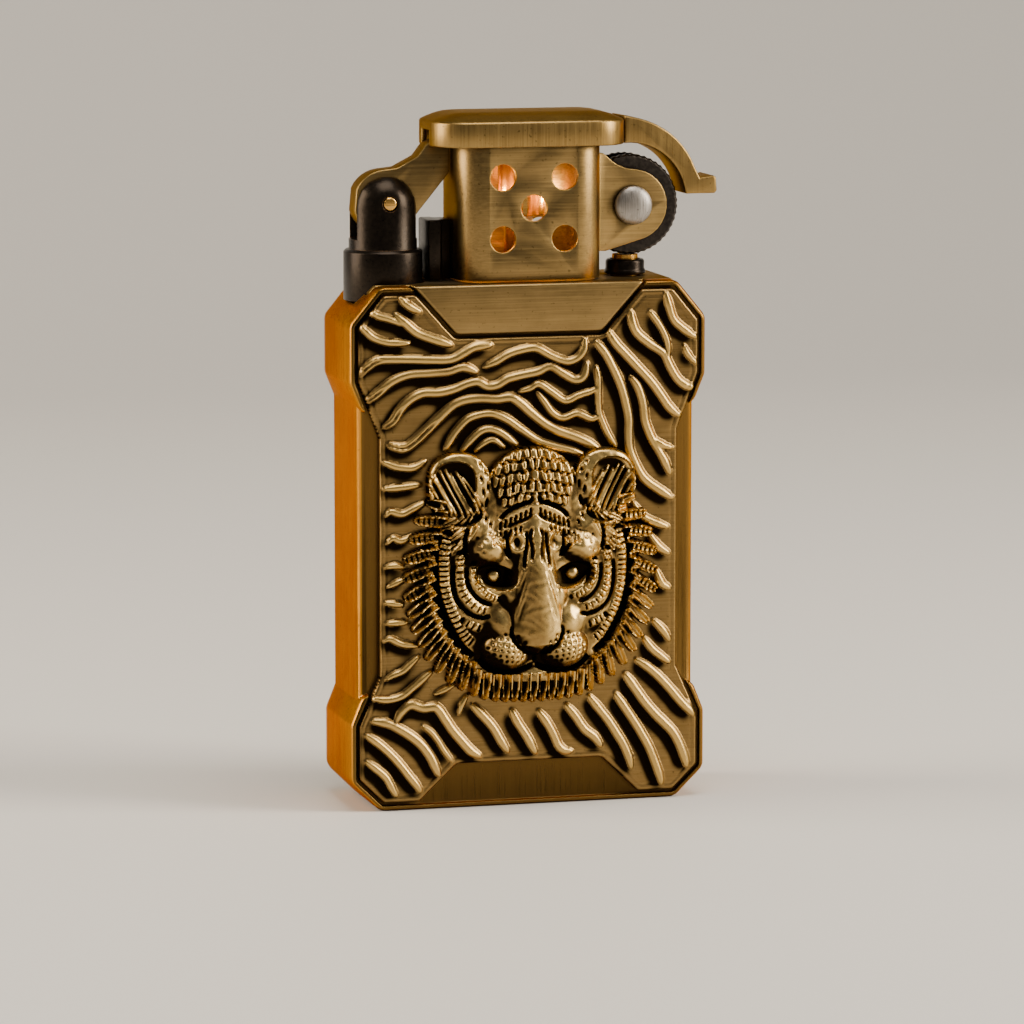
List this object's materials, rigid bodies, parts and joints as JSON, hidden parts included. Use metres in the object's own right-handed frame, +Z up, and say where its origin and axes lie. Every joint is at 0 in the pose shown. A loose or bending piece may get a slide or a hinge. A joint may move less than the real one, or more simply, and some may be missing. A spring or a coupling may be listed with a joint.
{
  "type": "lighter",
  "caption": "Pocket petrol lighter: bumpered brass case with a tiger relief, pull-out insert, chimney, flint wheel and a hinged snuffer arm.",
  "frame": {"origin": "middle of the case's flat foot", "axes": "+Z up along the case to the cap, +Y out of the back, -Y out of the face with the relief, +X towards the flint wheel"},
  "size_m": [0.0394, 0.0172, 0.07],
  "materials": {
    "brushed_gold": "brushed, bright",
    "antique_brass": "antique, brushed, dark in the recesses",
    "bright_brass": "turned, bright",
    "gunmetal": "black nickel, semi-gloss",
    "dark_steel": "hardened, dark, turned",
    "rivet_steel": "turned, matt",
    "tank_steel": "drawn sheet, satin",
    "spring_steel": "drawn wire",
    "flint_alloy": "sintered, matt",
    "cotton": "loose fibre",
    "felt": "pressed felt",
    "wick_cord": "braided cotton"
  },
  "bodies": {
    "case": {"case_shell": "brushed_gold", "front_relief_plate": "antique_brass", "tiger_head_emblem": "antique_brass", "rear_plate": "antique_brass"},
    "insert": {"insert_tank": "tank_steel", "top_deck": "antique_brass", "chimney": "antique_brass", "wick": "wick_cord", "wick_sleeve": "bright_brass", "cotton_packing": "cotton", "felt_pad": "felt", "flint_tube": "bright_brass", "flint_collar": "gunmetal", "flint_spring": "spring_steel", "pivot_post": "gunmetal", "arm_pivot_pin": "bright_brass", "detent_spring": "spring_steel", "stop_block": "gunmetal", "wheel_axle": "rivet_steel"},
    "arm": {"lift_arm": "antique_brass", "snuffer_cap": "antique_brass", "thumb_tail": "antique_brass", "snuffer_cup": "bright_brass"},
    "wheel": {"striker_wheel": "dark_steel", "wheel_flange_front": "dark_steel", "wheel_flange_rear": "dark_steel"},
    "flint_feed": {"flint": "flint_alloy", "flint_plunger": "bright_brass"},
    "screw": {"flint_screw": "bright_brass"},
    "detent": {"detent_plunger": "spring_steel"}
  },
  "joints": [
    {"name": "insert_slide", "type": "slide", "parent": "case", "child": "insert", "axis": [0, 0, 1], "range_m": [0, 0.054]},
    {"name": "arm_hinge", "type": "hinge", "parent": "insert", "child": "arm", "pos_m": [-0.01353, 0, 0.061], "axis": [0, -1, 0], "range_deg": [0, 95]},
    {"name": "wheel_spin", "type": "hinge", "parent": "insert", "child": "wheel", "pos_m": [0.0118, 0, 0.06035], "axis": [0, 1, 0], "continuous": true},
    {"name": "flint_slide", "type": "slide", "parent": "insert", "child": "flint_feed", "axis": [0, 0, 1], "range_m": [-0.003, 0], "stiffness_N_per_m": 120, "springref_m": 0.004, "deforming": ["flint_spring"]},
    {"name": "screw_turn", "type": "hinge", "parent": "insert", "child": "screw", "pos_m": [0.0118, 0, 0.0015], "axis": [0, 0, 1], "continuous": true},
    {"name": "detent_slide", "type": "slide", "parent": "insert", "child": "detent", "axis": [0, 0, 1], "range_m": [-0.0006, 0], "stiffness_N_per_m": 400, "springref_m": 0.002, "deforming": ["detent_spring"]}
  ]
}
